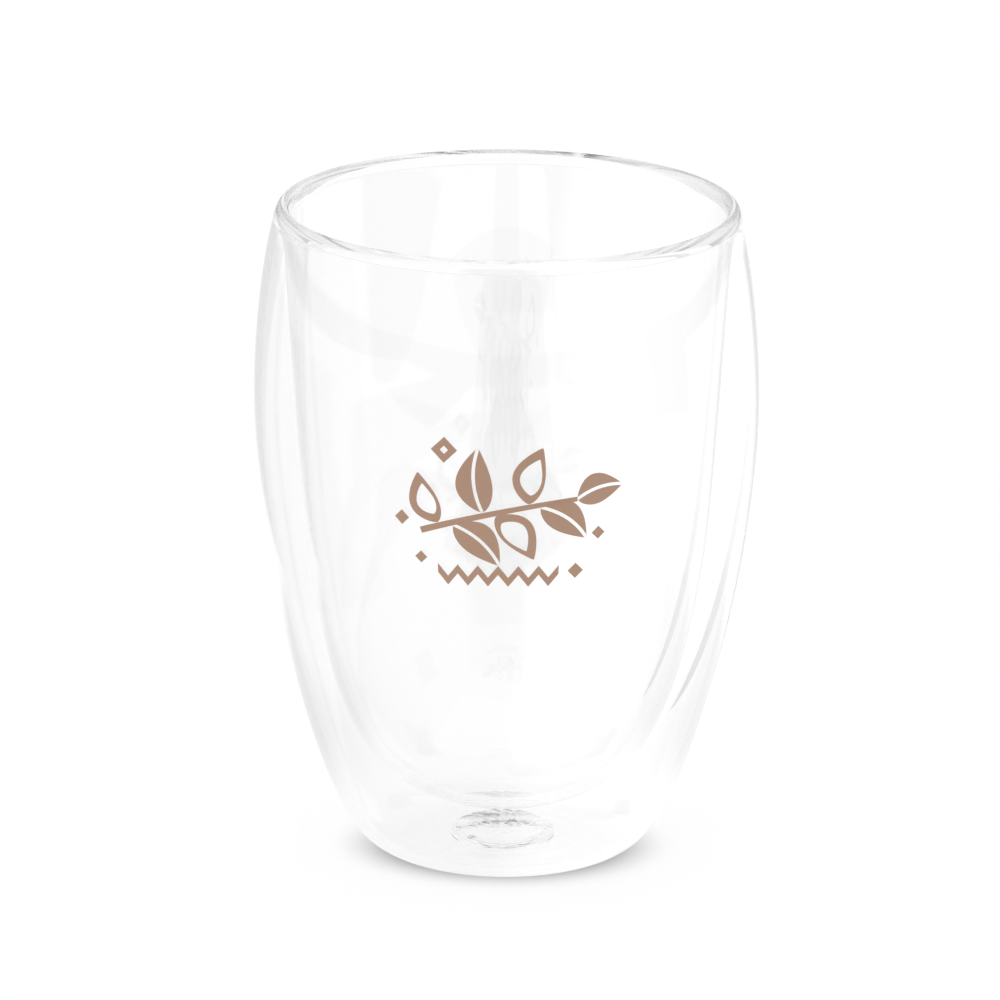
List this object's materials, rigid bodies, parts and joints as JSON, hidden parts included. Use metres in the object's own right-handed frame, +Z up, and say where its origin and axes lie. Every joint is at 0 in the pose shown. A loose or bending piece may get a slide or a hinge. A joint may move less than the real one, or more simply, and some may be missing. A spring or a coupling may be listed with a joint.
{
  "type": "double walled glass cup",
  "caption": "Handleless drinking cup of blown glass: a deep round bowl hangs inside a tapered outer wall, fused at the rim, with sealed air between them.",
  "frame": {"origin": "centre of the foot, on the plane that the cup stands on", "axes": "+Z up along the cup's axis, out of its mouth; -Y towards the side with the printed panel; +X to the right as one looks at that side"},
  "size_m": [0.085, 0.085, 0.112],
  "materials": {
    "outer_glass": "clear, fire-polished borosilicate glass",
    "inner_glass": "clear, fire-polished borosilicate glass",
    "rim_glass": "clear melted glass with a round, fire-polished top",
    "seal_glass": "clear glass, wrinkled where it was melted shut",
    "print_enamel": "fired screen-print enamel, taupe, satin"
  },
  "bodies": {
    "root": {"outer_shell": "outer_glass", "inner_shell": "inner_glass", "rim_bead": "rim_glass", "vent_seal": "seal_glass"}
  },
  "joints": []
}
